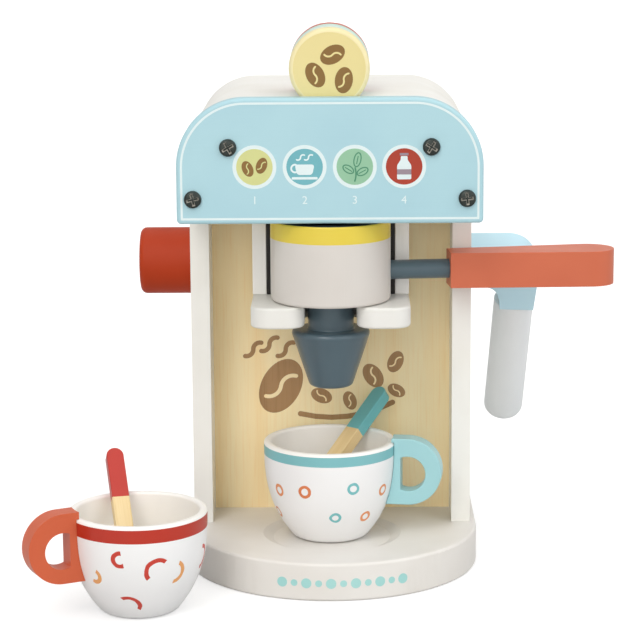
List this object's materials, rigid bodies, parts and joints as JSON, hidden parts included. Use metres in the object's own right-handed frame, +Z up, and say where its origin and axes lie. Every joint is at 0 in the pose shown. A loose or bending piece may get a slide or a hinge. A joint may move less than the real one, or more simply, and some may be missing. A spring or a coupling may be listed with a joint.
{
  "type": "toy coffee maker",
  "caption": "Wooden toy coffee maker with a pull-out filter and handle, knob, swinging steam wand, drink tokens in the top, and cups with stirring sticks.",
  "frame": {"origin": "on the ground under the middle of the machine, level with the front edges of the two side panels", "axes": "+X to the right seen from the front, +Y to the back, +Z up"},
  "size_m": [0.272, 0.2069, 0.2598],
  "materials": {
    "white_paint": "satin",
    "blue_paint": "satin",
    "slate_paint": "satin",
    "red_paint": "satin",
    "black_paint": "matt",
    "bare_wood": "bare",
    "yellow_paint": "satin",
    "teal_paint": "satin",
    "green_paint": "satin",
    "rust_paint": "satin",
    "screw_steel": "satin"
  },
  "bodies": {
    "machine": {"base": "white_paint", "left_side_panel": "white_paint", "right_side_panel": "white_paint", "splash_back": "bare_wood", "rear_panel": "white_paint", "head_floor": "white_paint", "fascia": "blue_paint", "top_cover": "white_paint", "left_spacer": "bare_wood", "right_spacer": "bare_wood", "left_hanger": "white_paint", "right_hanger": "white_paint", "holder_fork": "white_paint", "holder_saddle": "black_paint", "fascia_screws": "screw_steel", "rear_screws": "screw_steel", "base_screws": "screw_steel"},
    "spout_body": {"spout": "slate_paint"},
    "filter": {"filter_cup": "white_paint", "handle_rod": "slate_paint", "handle_grip": "red_paint"},
    "knob_body": {"knob": "red_paint", "knob_axle": "bare_wood", "knob_collar": "bare_wood"},
    "wand": {"wand_elbow": "blue_paint", "wand_rod": "white_paint", "wand_axle": "bare_wood", "wand_collar": "bare_wood"},
    "cup_on_machine": {"cup_a": "white_paint", "cup_a_handle": "blue_paint"},
    "stick_in_cup_a": {"stick_a": "bare_wood"},
    "loose_cup": {"cup_b": "white_paint", "cup_b_handle": "red_paint"},
    "stick_in_cup_b": {"stick_b": "bare_wood"},
    "beans_token": {"token_beans": "yellow_paint"},
    "cup_token": {"token_cup": "teal_paint"},
    "leaves_token": {"token_leaves": "green_paint"},
    "milk_token": {"token_milk": "rust_paint"}
  },
  "joints": [
    {"name": "knob_turn", "type": "hinge", "parent": "machine", "child": "knob_body", "pos_m": [-0.067, 0.046, 0.14], "axis": [1, 0, 0], "continuous": true},
    {"name": "wand_swing", "type": "hinge", "parent": "machine", "child": "wand", "pos_m": [0.067, 0.046, 0.1392], "axis": [1, 0, 0], "range_deg": [-57, 63]},
    {"name": "filter_pull", "type": "slide", "parent": "machine", "child": "spout_body", "axis": [0, -1, 0], "range_m": [0, 0.06]},
    {"name": "filter_turn", "type": "hinge", "parent": "spout_body", "child": "filter", "pos_m": [0, -0.017, 0.145], "axis": [0, 0, 1], "range_deg": [-180, 0]},
    {"name": "cup_a_lift", "type": "slide", "parent": "machine", "child": "cup_on_machine", "axis": [0, -0.9563, 0.2924], "range_m": [0, 0.13]},
    {"name": "stick_a_lift", "type": "slide", "parent": "cup_on_machine", "child": "stick_in_cup_a", "axis": [0, 0, 1], "range_m": [0, 0.03]},
    {"name": "cup_b_lift", "type": "slide", "parent": "machine", "child": "loose_cup", "axis": [0, 0, 1], "range_m": [0, 0.12]},
    {"name": "stick_b_lift", "type": "slide", "parent": "loose_cup", "child": "stick_in_cup_b", "axis": [-0.1667, 0.6494, 0.742], "range_m": [0, 0.07]},
    {"name": "beans_token_lift", "type": "slide", "parent": "machine", "child": "beans_token", "axis": [0, 0, 1], "range_m": [0, 0.04]},
    {"name": "cup_token_lift", "type": "slide", "parent": "machine", "child": "cup_token", "axis": [0, 0, 1], "range_m": [0, 0.04]},
    {"name": "leaves_token_lift", "type": "slide", "parent": "machine", "child": "leaves_token", "axis": [0, 0, 1], "range_m": [0, 0.04]},
    {"name": "milk_token_lift", "type": "slide", "parent": "machine", "child": "milk_token", "axis": [0, 0, 1], "range_m": [0, 0.04]}
  ]
}
